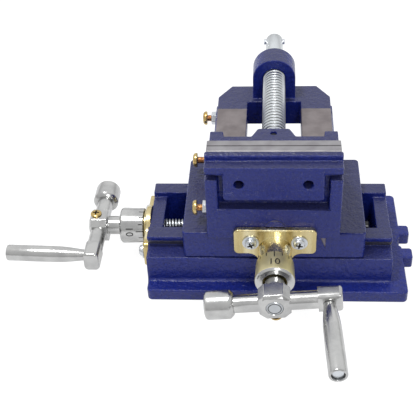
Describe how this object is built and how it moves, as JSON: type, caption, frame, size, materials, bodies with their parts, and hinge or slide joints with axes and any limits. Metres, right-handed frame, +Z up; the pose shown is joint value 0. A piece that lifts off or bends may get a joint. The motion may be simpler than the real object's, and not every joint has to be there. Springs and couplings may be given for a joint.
{
  "type": "cross slide vise",
  "caption": "Two-way cross slide vise for a drill press: blue cast body on dovetail slides, crank-driven leadscrews with dials, and a screw-driven jaw.",
  "frame": {"origin": "on the base's underside, where the lines of the two leadscrews cross seen from above", "axes": "+X to the right as seen from the front crank, +Y to the back, towards the clamping screw, +Z up"},
  "size_m": [0.2518, 0.25, 0.1053],
  "materials": {
    "blue_paint": "gloss",
    "ground_steel": "ground",
    "zinc_bright": "bright",
    "zinc_yellow": "bright",
    "polished_steel": "polished",
    "brass": "satin",
    "dark_steel": "dull"
  },
  "bodies": {
    "base": {"base": "blue_paint", "x_bracket": "zinc_yellow", "x_bracket_screws": "zinc_bright", "x_bracket_washers": "zinc_bright"},
    "saddle": {"saddle": "blue_paint", "x_nut": "brass", "x_gib": "ground_steel", "x_gib_screws": "brass", "x_gib_nuts": "zinc_bright", "y_bracket": "zinc_yellow", "y_bracket_screws": "zinc_bright", "y_bracket_washers": "zinc_bright"},
    "vise_body": {"vise_body": "blue_paint", "fixed_jaw_plate": "ground_steel", "fixed_jaw_screws": "zinc_bright", "y_nut": "brass", "y_gib": "ground_steel", "y_gib_screws": "brass", "y_gib_nuts": "zinc_bright"},
    "moving_jaw": {"moving_jaw": "blue_paint", "moving_jaw_plate": "ground_steel", "moving_jaw_screws": "zinc_bright", "jaw_keeper": "ground_steel", "jaw_keeper_screws": "dark_steel", "retaining_screw": "dark_steel"},
    "main_screw": {"main_screw": "zinc_bright", "drive_cross_pin": "zinc_bright"},
    "x_crank": {"x_leadscrew": "zinc_bright", "x_dial": "polished_steel", "x_dial_set_screw": "dark_steel", "x_crank_arm": "polished_steel", "x_crank_set_screw": "brass", "x_counterweight": "polished_steel", "x_grip_spindle": "polished_steel"},
    "x_grip": {"x_grip": "polished_steel"},
    "y_crank": {"y_leadscrew": "zinc_bright", "y_dial": "polished_steel", "y_dial_set_screw": "dark_steel", "y_crank_arm": "polished_steel", "y_crank_set_screw": "brass", "y_counterweight": "polished_steel", "y_grip_spindle": "polished_steel"},
    "y_grip": {"y_grip": "polished_steel"}
  },
  "joints": [
    {"name": "x_travel", "type": "slide", "parent": "base", "child": "saddle", "axis": [1, 0, 0], "range_m": [-0.03, 0.028]},
    {"name": "y_travel", "type": "slide", "parent": "saddle", "child": "vise_body", "axis": [0, 1, 0], "range_m": [0, 0.04]},
    {"name": "jaw_travel", "type": "slide", "parent": "vise_body", "child": "moving_jaw", "axis": [0, 1, 0], "range_m": [0, 0.058]},
    {"name": "main_screw_turn", "type": "hinge", "parent": "moving_jaw", "child": "main_screw", "pos_m": [0, 0.03, 0.0918], "axis": [0, 1, 0], "range_deg": [0, 10445]},
    {"name": "x_crank_turn", "type": "hinge", "parent": "base", "child": "x_crank", "pos_m": [-0.09, 0, 0.0205], "axis": [1, 0, 0], "range_deg": [-5045, 5405]},
    {"name": "y_crank_turn", "type": "hinge", "parent": "saddle", "child": "y_crank", "pos_m": [0.0009, -0.05, 0.04], "axis": [0, 1, 0], "range_deg": [-7205, 0]},
    {"name": "x_grip_turn", "type": "hinge", "parent": "x_crank", "child": "x_grip", "pos_m": [-0.1159, -0.02958, 0.02153], "axis": [-0.9993, 0.0384, -0.0013], "continuous": true},
    {"name": "y_grip_turn", "type": "hinge", "parent": "y_crank", "child": "y_grip", "pos_m": [0.03036, -0.0907, 0.04284], "axis": [0.0452, -0.999, 0.0043], "continuous": true}
  ],
  "couplings": [
    {"joint": "x_crank_turn", "follows": "x_travel", "rad_per_m": -3141.6},
    {"joint": "y_crank_turn", "follows": "y_travel", "rad_per_m": -3141.6},
    {"joint": "main_screw_turn", "follows": "jaw_travel", "rad_per_m": 3141.6}
  ]
}
